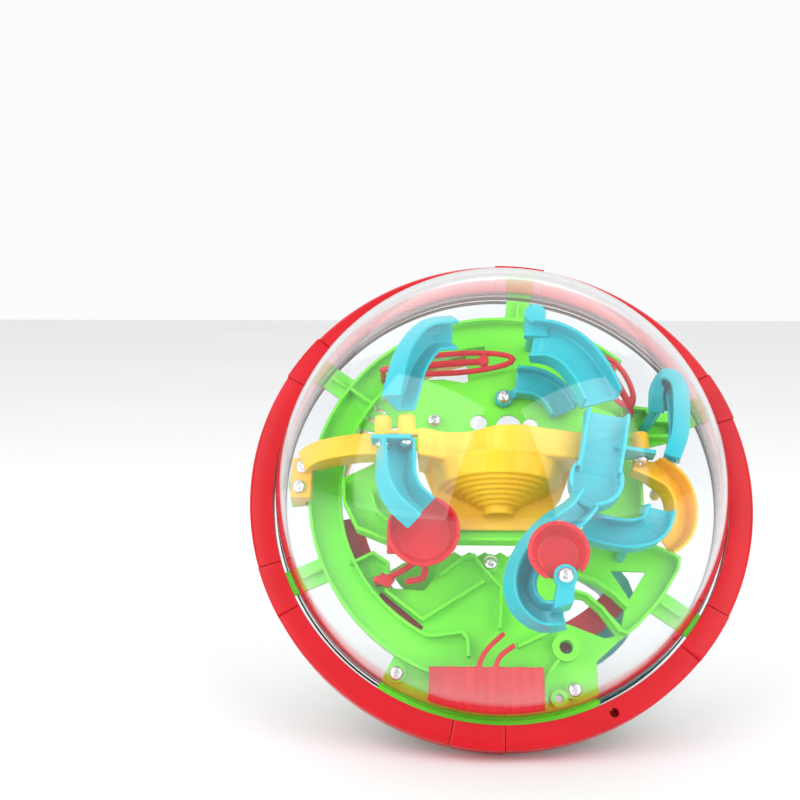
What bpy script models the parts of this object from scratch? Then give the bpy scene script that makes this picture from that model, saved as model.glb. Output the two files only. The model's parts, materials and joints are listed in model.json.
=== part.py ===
"""A ball-shaped maze puzzle: two clear domes clamped by a red equator ring round a maze of tracks.

Everything is laid out in the ball's own frame: x to the right and y up in the plane of the ring, z along the
ball's axis towards the front dome, in millimetres. The ball rests on the rear edge of its ring and on its rear
dome, so an empty at the ball's centre leans that frame back, and +Z of the world is up.
"""

import math

import bmesh
import bpy
from mathutils import Matrix, Vector

MM = 0.001
GAP = 0.3
LAYER = 0.04

RING_OUTER = 100.0
RING_INNER = 90.7
RING_HALF = 6.2
DOME_OUTER = 89.0
DOME_WALL = 2.0
DOME_CENTRE = 6.0
FLANGE_OUTER = 93.6
FLANGE_LOW = 1.5
FLANGE_HIGH = 3.1
SEAT_OUTER = FLANGE_OUTER + GAP
SEAT_HIGH = FLANGE_HIGH + GAP
SPOKE_ANGLES = (84.0, 144.0, 204.0, 325.0, 24.0)
CLIP_FIRST = 84.5
CLIP_HALF_ANGLE = 6.0
CLIP_PROUD = 0.15

TRACK_OUTER = 76.0
TRACK_INNER = 64.0
WALL = 1.2
WALL_TOP = 6.0
DECK_TOP = 1.0
DECK_BOTTOM = -1.1
UPPER_LOW = 12.4
UPPER_HIGH = 14.0

BALL_RADIUS = 3.5
BALL_ORBIT = TRACK_OUTER - WALL / 2 - GAP / 2 - BALL_RADIUS
SCREW_SHANK = 1.2
SCREW_HOLE = SCREW_SHANK + GAP
SCREW_HEAD = 2.8

RED = ("red", (0.78, 0.02, 0.03), 0.3)
GREEN = ("green", (0.16, 0.72, 0.06), 0.35)
YELLOW = ("yellow", (0.95, 0.62, 0.02), 0.35)
TEAL = ("teal", (0.0, 0.45, 0.52), 0.35)
CLEAR = ("clear", (0.92, 0.95, 0.96), 0.05)
STEEL = ("steel", (0.75, 0.75, 0.76), 0.2)


def clear_scene():
    for thing in list(bpy.data.objects):
        bpy.data.objects.remove(thing)


def make_collection(name, hidden=False):
    made = bpy.data.collections.new(name)
    bpy.context.scene.collection.children.link(made)
    made.hide_render = hidden
    return made


def make_material(name, colour, roughness):
    made = bpy.data.materials.new(name)
    made.use_nodes = True
    shader = made.node_tree.nodes["Principled BSDF"]
    shader.inputs["Base Color"].default_value = (*colour, 1)
    shader.inputs["Roughness"].default_value = roughness
    shader.inputs["Metallic"].default_value = 1.0 if name == "steel" else 0.0
    if name == "clear":
        shader.inputs["Transmission Weight"].default_value = 1.0
    return made


clear_scene()
PARTS = make_collection("maze_ball")
SHAPES = make_collection("maze_ball_shapes", hidden=True)
MATERIALS = {entry[0]: make_material(*entry) for entry in (RED, GREEN, YELLOW, TEAL, CLEAR, STEEL)}

# The rear ring edge and the rear dome touch one plane, which gives the lean.
LEAN = math.acos((DOME_OUTER - 0.1) / RING_OUTER)
FRAME = bpy.data.objects.new("ball_frame", None)
FRAME.rotation_euler = (math.pi / 2 - LEAN, 0, 0)
PARTS.objects.link(FRAME)


# ---------------------------------------------------------------- shape helpers


def polar(radius, degrees):
    angle = math.radians(degrees)
    return (radius * math.cos(angle), radius * math.sin(angle))


def arc(radius, start, end, step=6.0, centre=(0.0, 0.0)):
    """Points along a circle from one angle to another, in degrees, ends included."""
    count = max(2, math.ceil(abs(end - start) / step))
    angles = [start + (end - start) * i / count for i in range(count + 1)]
    return [(centre[0] + x, centre[1] + y) for x, y in (polar(radius, a) for a in angles)]


def circle(centre, radius, count=16):
    return arc(radius, 0, 360 - 360 / count, 360 / count, centre)


def smooth(route, per_span=4):
    """A Catmull-Rom curve through the route's points, which may hold any number of values."""
    ends = [route[0], *route, route[-1]]
    found = []
    for a, b, c, d in zip(ends, ends[1:], ends[2:], ends[3:]):
        for i in range(per_span):
            t = i / per_span
            weights = (
                -0.5 * t + t * t - 0.5 * t**3,
                1 - 2.5 * t * t + 1.5 * t**3,
                0.5 * t + 2 * t * t - 1.5 * t**3,
                -0.5 * t * t + 0.5 * t**3,
            )
            found.append(tuple(sum(w * p[k] for w, p in zip(weights, (a, b, c, d))) for k in range(len(b))))
    return [*found, tuple(route[-1])]


def new_object(name, data):
    made = bpy.data.objects.new(name, data)
    SHAPES.objects.link(made)
    made.parent = FRAME
    return made


def scaled_mesh(mesh, matrix=None):
    """Closes loose caps, turns the faces out and brings a mesh in millimetres to metres."""
    work = bmesh.new()
    work.from_mesh(mesh)
    bmesh.ops.remove_doubles(work, verts=work.verts, dist=1e-3)
    bmesh.ops.recalc_face_normals(work, faces=work.faces)
    work.transform(Matrix.Scale(MM, 4) @ (matrix or Matrix.Identity(4)))
    work.to_mesh(mesh)
    work.free()
    return mesh


def mesh_from_object(name, source, matrix=None):
    """A mesh object with the evaluated shape of a curve or of an object with modifiers."""
    bpy.context.view_layer.update()
    graph = bpy.context.evaluated_depsgraph_get()
    mesh = bpy.data.meshes.new_from_object(source.evaluated_get(graph))
    bpy.data.objects.remove(source)
    return new_object(name, scaled_mesh(mesh, matrix))


def flat_curve(name, loops, closed=True):
    curve = bpy.data.curves.new(name, "CURVE")
    curve.dimensions = "2D"
    for loop in loops:
        spline = curve.splines.new("POLY")
        spline.points.add(len(loop) - 1)
        for point, (x, y) in zip(spline.points, loop):
            point.co = (x, y, 0, 1)
        spline.use_cyclic_u = closed
    return curve


def loose(name, data):
    made = bpy.data.objects.new(name, data)
    SHAPES.objects.link(made)
    return made


# A shelf stands square to the deck: its outline is drawn in x and z, and its thickness runs along y.
SHELF = Matrix.Rotation(math.pi / 2, 4, "X")


def plate(name, outline, low, high, holes=(), shelf=False):
    """An outline extruded from low to high, with holes."""
    curve = flat_curve(name, [outline, *holes])
    curve.fill_mode = "BOTH"
    curve.extrude = (high - low) / 2
    middle = Matrix.Translation((0, 0, (low + high) / 2 * (-1 if shelf else 1)))
    return mesh_from_object(name, loose(name, curve), (SHELF if shelf else Matrix.Identity(4)) @ middle)


def ribbon(name, path, thickness, low, high, shelf=False, closed=False):
    """A thin wall that follows a path and stands from low to high."""
    curve = flat_curve(name, [path], closed)
    curve.extrude = (high - low) / 2
    source = loose(name, curve)
    shell = source.modifiers.new("thickness", "SOLIDIFY")
    shell.thickness = thickness
    shell.offset = 0
    shell.use_even_offset = True
    middle = Matrix.Translation((0, 0, (low + high) / 2 * (-1 if shelf else 1)))
    return mesh_from_object(name, source, (SHELF if shelf else Matrix.Identity(4)) @ middle)


def sweep(name, route, section):
    """A closed section carried along a route of x, y, z and roll in degrees. Section +Y starts at z up, section
    +X at the right of the way, and a positive roll leans +Y to the right."""
    section_object = loose(name + "_section", flat_curve(name + "_section", [section]))
    curve = bpy.data.curves.new(name, "CURVE")
    curve.dimensions = "3D"
    curve.twist_mode = "Z_UP"
    spline = curve.splines.new("POLY")
    spline.points.add(len(route) - 1)
    for point, (x, y, z, roll) in zip(spline.points, route):
        point.co = (x, y, z, 1)
        point.tilt = math.radians(roll)
    curve.bevel_mode = "OBJECT"
    curve.bevel_object = section_object
    curve.use_fill_caps = True
    made = mesh_from_object(name, loose(name, curve))
    bpy.data.objects.remove(section_object)
    return made


def channel(width, depth, wall=1.4, floor=1.6):
    """The U-shaped section of a track, its floor on the route and its mouth at +Y."""
    half = width / 2
    return [
        (-half, -floor),
        (half, -floor),
        (half, depth),
        (half - wall, depth),
        (half - wall, 0),
        (wall - half, 0),
        (wall - half, depth),
        (-half, depth),
    ]


def rod(name, route, radius, closed=False):
    """A round bar along a route of x, y and z."""
    curve = bpy.data.curves.new(name, "CURVE")
    curve.dimensions = "3D"
    curve.bevel_depth = radius
    curve.bevel_resolution = 1
    curve.use_fill_caps = True
    spline = curve.splines.new("POLY")
    spline.points.add(len(route) - 1)
    for point, place in zip(spline.points, route):
        point.co = (*place, 1)
    spline.use_cyclic_u = closed
    return mesh_from_object(name, loose(name, curve))


def turned(name, profile, steps=24, closed=False, matrix=None):
    """A profile of radius and height turned about z. It runs down the outer side."""
    mesh = bpy.data.meshes.new(name)
    edges = [(i, i + 1) for i in range(len(profile) - 1)]
    if closed:
        edges.append((len(profile) - 1, 0))
    mesh.from_pydata([(r, 0, h) for r, h in profile], edges, [])
    source = loose(name, mesh)
    screw = source.modifiers.new("turn", "SCREW")
    screw.steps = steps
    screw.render_steps = steps
    screw.use_merge_vertices = True
    screw.merge_threshold = 0.0001
    return mesh_from_object(name, source, matrix)


def cylinder(name, centre, radius, low, high, along="z", sides=16):
    """A round bar from low to high along z, or along y for a boss on a shelf."""
    profile = [(0, high), (radius, high), (radius, low), (0, low)]
    x, y = centre
    if along == "z":
        return turned(name, profile, sides, matrix=Matrix.Translation((x, y, 0)))
    turn = Matrix.Translation((x, 0, y)) @ Matrix.Rotation(-math.pi / 2, 4, "X")
    return turned(name, profile, sides, matrix=turn)


def combine(base, others, operation):
    """Joins base with all the others, or cuts them from it, in one exact Boolean."""
    group = bpy.data.collections.new(operation)
    SHAPES.children.link(group)
    for other in others:
        SHAPES.objects.unlink(other)
        group.objects.link(other)
    step = base.modifiers.new(operation, "BOOLEAN")
    step.operation = operation
    step.operand_type = "COLLECTION"
    step.collection = group
    bpy.context.view_layer.update()
    graph = bpy.context.evaluated_depsgraph_get()
    base.data = bpy.data.meshes.new_from_object(base.evaluated_get(graph))
    base.modifiers.clear()
    for other in others:
        bpy.data.objects.remove(other)
    bpy.data.collections.remove(group)
    return base


def join(base, others):
    return combine(base, others, "UNION")


def cut(base, others):
    return combine(base, others, "DIFFERENCE")


def finish(shape, name, material, pivot=None):
    """Makes a shape a part: named, coloured, shaded, and with its origin on its axis if it moves."""
    SHAPES.objects.unlink(shape)
    PARTS.objects.link(shape)
    shape.name = name
    shape.data.materials.clear()
    shape.data.materials.append(MATERIALS[material[0]])
    shape.data.shade_smooth()
    shape.data.set_sharp_from_angle(angle=math.radians(35))
    if pivot:
        place = Vector(pivot) * MM
        shape.data.transform(Matrix.Translation(-place))
        shape.location = place
    return shape


# ---------------------------------------------------------------- shell


def dome(name, side):
    """A clear half shell with the flange that the ring halves clamp. Side is 1 in front and -1 behind."""
    inner = DOME_OUTER - DOME_WALL
    outer_arc = [(r, h + DOME_CENTRE) for h, r in arc(DOME_OUTER, 0, 90, 10.0)]
    inner_arc = [(r, h + DOME_CENTRE) for h, r in reversed(arc(inner, 0, 90, 10.0))]
    outer_arc[0] = (0, DOME_OUTER + DOME_CENTRE)
    inner_arc[-1] = (0, inner + DOME_CENTRE)
    foot = [
        (DOME_OUTER, FLANGE_HIGH),
        (FLANGE_OUTER, FLANGE_HIGH),
        (FLANGE_OUTER, FLANGE_LOW),
        (inner, FLANGE_LOW),
    ]
    turn = Matrix.Identity(4) if side > 0 else Matrix.Rotation(math.pi, 4, "X")
    return finish(turned(name, [*outer_arc, *foot, *inner_arc], 40, matrix=turn), name, CLEAR)


def ring_half(name, side, cutters):
    """Half of the equator ring, with a seat for the dome's flange and notches for the clips."""
    profile = [
        (RING_OUTER - 1.4, RING_HALF),
        (RING_OUTER, RING_HALF - 1.2),
        (RING_OUTER, GAP / 2),
        (SEAT_OUTER, GAP / 2),
        (SEAT_OUTER, SEAT_HIGH),
        (RING_INNER, SEAT_HIGH),
        (RING_INNER, RING_HALF),
    ]
    turn = Matrix.Identity(4) if side > 0 else Matrix.Rotation(math.pi, 4, "X")
    ring = turned(name, profile, 64, closed=True, matrix=turn)
    return finish(cut(ring, cutters), name, RED)


def clip_section(grow):
    """The C of a ring clip about the middle of the ring's width, or the cutter that makes room for it."""
    middle = (RING_OUTER + RING_INNER) / 2
    outer = RING_OUTER + CLIP_PROUD - middle
    high = RING_HALF + CLIP_PROUD
    lip = 1.9 + (GAP if grow else 0)
    tip = RING_INNER - middle
    over = 2.0 if grow else 0.0
    return [
        (tip - over, high + over),
        (outer + over, high + over),
        (outer + over, -high - over),
        (tip - over, -high - over),
        (tip - over, lip - high),
        (outer - lip - CLIP_PROUD, lip - high),
        (outer - lip - CLIP_PROUD, high - lip),
        (tip - over, high - lip),
    ]


def clip_shape(name, angle, grow=False):
    middle = (RING_OUTER + RING_INNER) / 2
    half = CLIP_HALF_ANGLE + (0.25 if grow else 0)
    route = [(x, y, 0, 0) for x, y in arc(middle, angle - half, angle + half, 3.0)]
    return sweep(name, route, clip_section(grow))


def shell():
    dome("front_dome", 1)
    dome("rear_dome", -1)
    angles = [CLIP_FIRST + 60 * i for i in range(6)]
    hole = cylinder("ring_hole", polar(95.4, 296), 1.75, -1, 8)
    ring_half("front_ring", 1, [*[clip_shape(f"front_notch_{a:.0f}", a, True) for a in angles], hole])
    ring_half("rear_ring", -1, [clip_shape(f"rear_notch_{a:.0f}", a, True) for a in angles])
    for number, angle in enumerate(angles, 1):
        finish(clip_shape("clip", angle), f"ring_clip_{number}", RED)


# ---------------------------------------------------------------- screws

def screw(name, place, length, pieces, along="z"):
    """A pan-head screw whose head sits at place and whose shank runs back from it through the pieces."""
    profile = [
        (0, 1.9),
        (1.4, 1.7),
        (2.4, 1.1),
        (SCREW_HEAD, 0.0),
        (SCREW_SHANK, 0.0),
        (SCREW_SHANK, -length),
        (0, -length),
    ]
    turns = {"z": 0, "y": math.pi / 2}
    move = Matrix.Translation(place) @ Matrix.Rotation(turns[along], 4, "X")
    finish(turned(name, profile, 12, matrix=move), name, STEEL)
    sunk = SCREW_HEAD + GAP
    end = -length - GAP
    hole = [(0, 2.3), (sunk, 2.3), (sunk, -0.1), (SCREW_HOLE, -0.1), (SCREW_HOLE, end), (0, end)]
    for piece in pieces:
        cut(piece, [turned(f"{name}_hole_{piece.name}", hole, 12, matrix=move)])


# ---------------------------------------------------------------- main deck

SCALLOPS = [(-24 + 1.5 * i, -24.2 + 0.9 * math.cos(2 * math.pi * i / 4)) for i in range(27)]
LOWER_DECK = [
    (-62, -20), (-58, -28), (-50, -25), (-44, -29), (-43, -38), (-30, -39), (-26, -34), *SCALLOPS, (30, -21.5),
    (59.7, -20.7), (67, -23.7), (70.3, -26), (69.7, -30.3), (65, -38), (61, -43.7), (53, -52.3), (46, -57.5),
    (36.5, -66), *arc(92.9, 293.5, 238.5), (-40, -62), (-50, -45),
]
UPPER_RIGHT_DECK = [
    (-14, 66), (-12, 47), (6, 42), (28, 44), (39, 36), (43, 12), (43, -26), (57, -26), (57, 20),
    (71, 23.5), (71, 31.5), (62, 38), (50, 40), (48, 52), (35, 58), (0, 68),
]
LEFT_DECK = [(-55, 42), (-44, 52), (-36, 46), (-36, 31), (-50, 27), (-60, 29)]
TAB_DECK = [(-74, 16), (-84, 15), (-86, 4), (-84, -5), (-74, -4)]
OPENINGS = [
    [(-48, -41.5), (-46.5, -39.5), (-30, -53), (-31, -55.5)],
    [(27, -33), (36, -36), (43, -41), (48, -46), (46.5, -52), (39.5, -44.5), (33, -39.5), (27.5, -37.5)],
    [(25, -41), (32, -42), (38, -47.5), (44, -56), (40, -57), (23, -50.5), (19.5, -46)],
    [(43, -30.3), (57, -30.7), (50, -41.7)],
    circle((24.7, -61), 2.7),
    circle((21.5, -80.2), 1.7, 12),
]
DECK_WALLS = [
    arc(TRACK_OUTER, 48, 250),
    [*arc(TRACK_INNER, 95, 243), (-26, -57.3), (-15, -55.7), (-13, -58.3), (-12.5, -65)],
    [polar(TRACK_INNER - 1, 144), polar(TRACK_OUTER + 0.4, 144)],
    [(-59, -29), (-57, -28.5), (-50, -25), (-44, -29), (-43.6, -38), (-44.7, -40), (-30.3, -51),
     (-6.3, -35.7)],
    [(-23.7, -33.7), (-14.3, -26.3), (-10.3, -25.7), (-6.3, -31), (0.3, -38.3), (-0.5, -54.3)],
    [(6.3, -61), (19, -55)],
    [(12, -25.6), (17, -25.4), (30, -22.6), (59.7, -21.3), (66.7, -24.2), (69.7, -26.2), (69.1, -30.1),
     (64.5, -37.7), (60.5, -43.4), (52.6, -51.9), (48, -55.6), (45, -54)],
    [(27, -32), (36.5, -35), (43.7, -40.3), (48.8, -45.5)],
    [(26.3, -38.8), (33, -40.7), (39, -46), (45.5, -55)],
    [(21.7, -66), (16.6, -72.6), (16.6, -84)],
    [(50, 24), (50, 36.5), (60, 36), (62.5, 30.8), (70.4, 30.6), (70.4, 24.4), (51, 24)],
]
DECK_BOSSES = [
    ((24.7, -61), 5.5),
    ((21.5, -80.2), 3.4),
    ((-39.9, -71.5), 3.6),
    ((27.3, -77), 3.6),
    ((-3.9, -28.6), 3.6),
]


def comb_slot(x, y):
    """One of the three slanting slots beside the left track."""
    return [(x - 2.5, y + 2.3), (x - 3.3, y + 0.7), (x + 2.5, y - 2.3), (x + 3.3, y - 0.7)]


def main_deck():
    """The disc frame that carries the maze. Its spokes end between the domes' flanges."""
    comb = [comb_slot(-46, 41), comb_slot(-49.5, 36.8), comb_slot(-52.5, 32.4)]
    plates = [
        (LOWER_DECK, OPENINGS),
        (UPPER_RIGHT_DECK, [circle((35, 50), 2.5, 12)]),
        (LEFT_DECK, comb),
        (TAB_DECK, []),
    ]
    pieces = []
    for number, (outline, holes) in enumerate(plates, 1):
        low, high = DECK_BOTTOM + LAYER * number, DECK_TOP - LAYER * number
        pieces.append(plate(f"deck_plate_{number}", outline, low, high, holes))
    for number, angle in enumerate(SPOKE_ANGLES):
        along, across = Vector(polar(1, angle)), Vector(polar(5, angle + 90))
        ends = [along * r + across * s for r, s in ((68, 1), (92.9, 1), (92.9, -1), (68, -1))]
        outline = [tuple(end) for end in ends]
        pieces.append(plate(f"spoke_{number}", outline, DECK_BOTTOM + 0.2, DECK_TOP - 0.2))
        rib = [polar(TRACK_OUTER, angle), polar(85.5, angle)]
        pieces.append(ribbon(f"spoke_rib_{number}", rib, WALL, 0.2, 3.6))
    for number, path in enumerate(DECK_WALLS):
        pieces.append(ribbon(f"deck_wall_{number}", path, WALL, 0.2, WALL_TOP - LAYER * number))
    for number, (centre, radius) in enumerate(DECK_BOSSES):
        hole = [circle(centre, 2.7 if radius > 5 else 1.7, 12)] if number < 2 else []
        top = 5.0 - LAYER * number
        pieces.append(plate(f"deck_boss_{number}", circle(centre, radius), 0.1, top, hole))
    annulus = [*arc(TRACK_OUTER + WALL / 2, 48, 252), *arc(TRACK_INNER - WALL / 2, 252, 48)]
    deck = plate("main_deck_base", annulus, DECK_BOTTOM, DECK_TOP)
    return finish(join(deck, pieces), "main_deck", GREEN)


# ---------------------------------------------------------------- upper deck

UPPER_DECK = [
    (-62, 3), (-61.5, -8), (-56, -19), (-45, -23.6), (44, -23.6), (52, -18), (54.8, -10), (54.8, 6),
    (48, 14), (46, 30), (30, 37), (17, 45), (8, 50), (-6, 47), (-14, 43.5), (-23, 45), (-34, 44.5),
    (-36.5, 32), (-38, 16), (-52, 8),
]
FUNNEL_WINDOW = [(-33, -17), (35, -17), (37, 0), (33, 14), (-33, 15), (-35, 0)]
UPPER_HOLES = [circle((-8.5, 26.5), 3.4), circle((3.5, 25), 5.0), circle((12, 25.5), 3.0)]
UPPER_POSTS = [(-26.2, 27), (44, -6), (-54, -8)]


def upper_deck():
    """The second green level in front of the main deck, standing on three posts."""
    deck = plate("upper_deck_base", UPPER_DECK, UPPER_LOW, UPPER_HIGH, [FUNNEL_WINDOW, *UPPER_HOLES])
    rim = [
        (-61.3, 1), (-60.7, -8), (-55.6, -18.4), (-45, -22.8), (44, -22.8), (51.4, -17.6), (54, -10),
        (54, 4),
    ]
    inner = [(-51, -3), (-48, -12), (-42, -16.4), (-36, -17)]
    pieces = [
        ribbon("upper_rim", rim, WALL, UPPER_LOW + 0.6, UPPER_HIGH + 6),
        ribbon("upper_inner", inner, WALL, UPPER_LOW + 0.6, UPPER_HIGH + 5),
    ]
    for number, centre in enumerate(UPPER_POSTS):
        pieces.append(cylinder(f"upper_post_{number}", centre, 3.2, DECK_TOP + GAP, UPPER_HIGH - 0.4))
    return finish(join(deck, pieces), "upper_deck", GREEN)


# ---------------------------------------------------------------- yellow tracks

FUNNEL_AXIS = (-1.0, 17.0)
WAVY_FRONT = [
    (-32.2, 36.8), (-28.5, 35.8), (-22, 32), (-12, 32.5), (-3, 40), (7, 41), (16, 37), (30, 32), (40.5, 29),
]
FUNNEL_BOSSES = [(-45.5, 34.5), (-36.5, 36.0), (43.0, 28.0)]
FUNNEL_BOSS_FEET = [12.7, 12.7, 10.7]
FUNNEL_LIP = 26.2
FUNNEL_NECK = 23.4
FUNNEL_SPOUT = 6.0
SHELF_TOP = 6.6
NECK_HEIGHT = -2.5
FUNNEL_STEPS = 7
STEP_DROP = 1.25
SPOUT_END = NECK_HEIGHT - STEP_DROP * FUNNEL_STEPS - 2


def funnel_outside():
    """Radius and height along y of the smooth cone, the round steps under it and the spout."""
    tread = (FUNNEL_NECK - FUNNEL_SPOUT) / FUNNEL_STEPS
    profile = [(0, SHELF_TOP - 0.5), (FUNNEL_LIP, SHELF_TOP - 0.5), (FUNNEL_NECK, NECK_HEIGHT)]
    for number in range(1, FUNNEL_STEPS + 1):
        height = NECK_HEIGHT - STEP_DROP * (number - 1)
        radius = FUNNEL_NECK - tread * number
        profile += [(radius, height), (radius, height - STEP_DROP)]
    profile[-1] = (FUNNEL_SPOUT, SPOUT_END)
    return [*profile, (0, SPOUT_END)]


def funnel_inside():
    """Radius and height of the hollow, which runs on past both ends of the funnel."""
    wide, narrow = FUNNEL_LIP - 3.4, FUNNEL_SPOUT - 1.7
    ends = (SHELF_TOP + 2, SPOUT_END - 2)
    cone = [(wide, ends[0]), (wide - 1, NECK_HEIGHT + 2.5), (narrow, SPOUT_END + 4), (narrow, ends[1])]
    return [(0, ends[0]), *cone, (0, ends[1])]


def behind_plate(name, front):
    """A cutter that fills all the space behind one height."""
    return plate(name, [(-60, -40), (60, -40), (60, front), (-60, front)], -40, 30, shelf=True)


def funnel():
    """The wavy front wall, the shelf behind it and the stepped funnel that hangs under the shelf."""
    back = UPPER_HIGH + GAP
    x, z = FUNNEL_AXIS
    turn = Matrix.Translation((x, 0, z)) @ Matrix.Rotation(-math.pi / 2, 4, "X")
    cone = turned("funnel_cone", funnel_outside(), 28, matrix=turn)
    cone = cut(cone, [behind_plate("cone_back", back + 0.9)])
    hollow = turned("funnel_hollow", funnel_inside(), 28, matrix=turn)
    hollow = cut(hollow, [behind_plate("hollow_back", back + 2.1)])
    front = smooth(WAVY_FRONT, 3)
    outline = [*front, (40.5, back + 0.6), (-32.2, back + 0.6)]
    shelf = plate("funnel_shelf", outline, SHELF_TOP - 1.6, SHELF_TOP, shelf=True)
    wall = ribbon("funnel_front", front, 1.6, SHELF_TOP - 1.2, 16.0, shelf=True)
    bridge_outline = [(-48, 31.5), (-30.8, 33), (-30.8, 37.8), (-48, 37.5)]
    bridge = plate("boss_bridge", bridge_outline, 13.4, 15.0, shelf=True)
    bosses = []
    for number, (centre, foot) in enumerate(zip(FUNNEL_BOSSES, FUNNEL_BOSS_FEET)):
        bosses.append(cylinder(f"funnel_boss_{number}", centre, 3.3, foot, 21, along="y"))
    edge = [(-33, 12), (-26, -6), (-17, -18.4), (14, -18.4), (23, -6), (30, 12)]
    sheet = plate("funnel_back", edge, back, back + 1.7)
    whole = join(cut(join(shelf, [cone, sheet, bridge, *bosses]), [hollow]), [wall])
    return finish(whole, "yellow_funnel", YELLOW)


def left_yellow():
    """The track from the left tab, whose mouth faces up the ball, and the tab's two-screw block."""
    route = [
        (-74.2, 7.7, 12.6, -90), (-71, 8.8, 15.5, -90), (-64, 9.6, 19, -90), (-53.5, 10, 22, -90),
        (-44, 9.4, 22.8, -90), (-34.2, 8.4, 23, -90),
    ]
    base = sweep("left_yellow_track", smooth(route), channel(11, 7))
    outline = [(-83, 11.5), (-74.6, 11.5), (-74.6, -5), (-83, -5)]
    tab = plate("left_yellow_tab", outline, WALL_TOP + 4 * GAP, 13.6)
    leg = plate("left_yellow_leg", [(-83, 11.5), (-77.4, 11.5), (-77.4, -5), (-83, -5)], DECK_TOP + GAP, 8)
    return finish(join(base, [tab, leg]), "yellow_left_track", YELLOW)


def right_yellow():
    """The banked curve on the right, its mouth to the front, with one boss along y."""
    route = [
        (51.5, 7, 23.5, 0), (58, 3, 23, -10), (64.5, -2.5, 22, -20), (67, -10.5, 21, -25),
        (65.5, -18.5, 20, -25), (60.5, -23, 19.5, -20),
    ]
    base = sweep("right_yellow_track", smooth(route), channel(11, 6))
    room = plate("flange_room", [(40, 20), (62, 20), (62, 45), (40, 45)], 7.6, 18, shelf=True)
    base = cut(base, [room])
    boss = cylinder("right_yellow_boss", (53.5, 25.5), 3.3, 10, 18, along="y")
    web = plate("right_yellow_web", [(50.5, 4), (56, 4), (56, 13), (50.5, 13)], 20.8, 22.5)
    stem = cylinder("right_yellow_stem", (62.5, 1.0), 2.2, DECK_BOTTOM - GAP, 22.5)
    return finish(join(base, [boss, web, stem]), "yellow_right_bank", YELLOW)


# ---------------------------------------------------------------- teal tracks


def teal_left():
    """The slide from the top left down to the yellow bosses and the chute on to the left cup."""
    slide = [
        (-19, 58, 33, -40), (-29, 55, 36, -45), (-36.5, 44, 39, -50), (-40, 31, 41.5, -55),
        (-41.8, 23.6, 42.5, -60),
    ]
    base = sweep("left_slide", smooth(slide), channel(12, 7))
    stalk = rod("left_slide_stalk", [(-26, 57, 35), (-30, 60, 20), (-32, 61.5, DECK_TOP + GAP)], 2.0)
    upper = finish(join(base, [stalk]), "teal_left_slide", TEAL)
    chute = [
        (-41.4, 11.3, 32.4, -15), (-41.4, 8, 32.6, -18), (-41.5, 3, 34.2, -22), (-41.5, -5, 36.5, -30),
        (-38.5, -12.5, 36, -35), (-32, -18.5, 34, -35),
    ]
    base = sweep("left_chute", smooth(chute), channel(13, 8))
    outline = [(-50, 31), (-34.4, 31), (-34.4, 40.5), (-50, 40)]
    flange = plate("left_chute_flange", outline, 10.6, 12.4, shelf=True)
    lower = finish(join(base, [flange]), "teal_left_chute", TEAL)
    return upper, lower


def teal_right():
    """The wide slide down the right side and the flange that hangs it from the yellow bosses."""
    route = [
        (12.5, 54, 31, 5), (20, 52, 32, 0), (27.5, 46, 34, -5), (33.5, 36, 36, -8),
        (37.2, 26.5, 37, -8),
    ]
    base = sweep("right_slide", smooth(route), channel(16, 7))
    knob = cylinder("right_slide_knob", (13.5, 64.5), 4.3, 22, 36)
    leg = cylinder("right_slide_leg", (13.5, 64.5), 2.2, DECK_TOP + GAP, 30)
    neck = plate("right_slide_neck", [(10, 64), (17, 64), (19, 56), (9, 56)], 29, 33)
    return finish(join(base, [knob, neck, leg]), "teal_right_slide", TEAL)


HUB = (34.2, -5.6)


def teal_hook():
    """The hub under the right slide and the S-shaped track that runs from it round to its end lug."""
    route = [
        (30, -12, 36, -15), (24.5, -17.5, 37, -25), (16.5, -23, 38, -30), (8.5, -32, 38, -30), (4.0, -43, 38, -28),
        (6.0, -52, 38, -22), (13.0, -57, 39, -12), (20.5, -56.2, 41, -4),
    ]
    base = sweep("hook_track", smooth(route, 3), channel(9.5, 7))
    hub_profile = [(0, 34.8), (8.6, 34.8), (8.6, 42.5), (10.2, 42.5), (10.2, 33), (0, 33)]
    hub = turned("hook_hub", hub_profile, 24, matrix=Matrix.Translation((*HUB, 0)))
    way_in = plate("hub_way_in", [(25.9, -4), (43.5, -4), (45.5, 8), (28, 8)], 35.0, 50)
    way_out = plate("hub_way_out", [(20, -20), (28.5, -20), (36, -12), (26.6, -5.5)], 37.6, 50)
    hub = cut(hub, [way_in, way_out])
    way = smooth([(39, 21.8, 36.6, -8), (37.4, 10, 35.6, -4), (35.4, -1.5, 35.0, 0)])
    inlet = sweep("hub_inlet", way, channel(16.5, 6.8))
    stem = plate("hook_stem", [(16, -56), (23, -54), (24, -45), (18, -45)], 40, 53.6)
    lug = cylinder("hook_lug", (20.5, -44.6), 4.3, 51, 54)
    outline = [(41.6, 22.8), (58.5, 22.8), (58.5, 31), (41.6, 38)]
    flange = plate("hook_flange", outline, 8.0, 9.7, shelf=True)
    return finish(join(base, [hub, inlet, stem, lug, flange]), "teal_hook_track", TEAL)


def teal_branch():
    """The short branch that runs right from under the hub and curls up at its end."""
    route = [
        (30, -19.8, 26.2, 0), (39, -22.8, 27.4, 0), (48, -24, 29, 0), (55, -21, 30, 5), (57.3, -13.5, 31, 15),
    ]
    base = sweep("branch_track", smooth(route), channel(11.5, 6))
    leg = rod("branch_leg", [(47, -24, 28), (47, -25, 15), (47, -25.4, DECK_TOP + GAP)], 2.2)
    return finish(join(base, [leg]), "teal_branch", TEAL)


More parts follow.
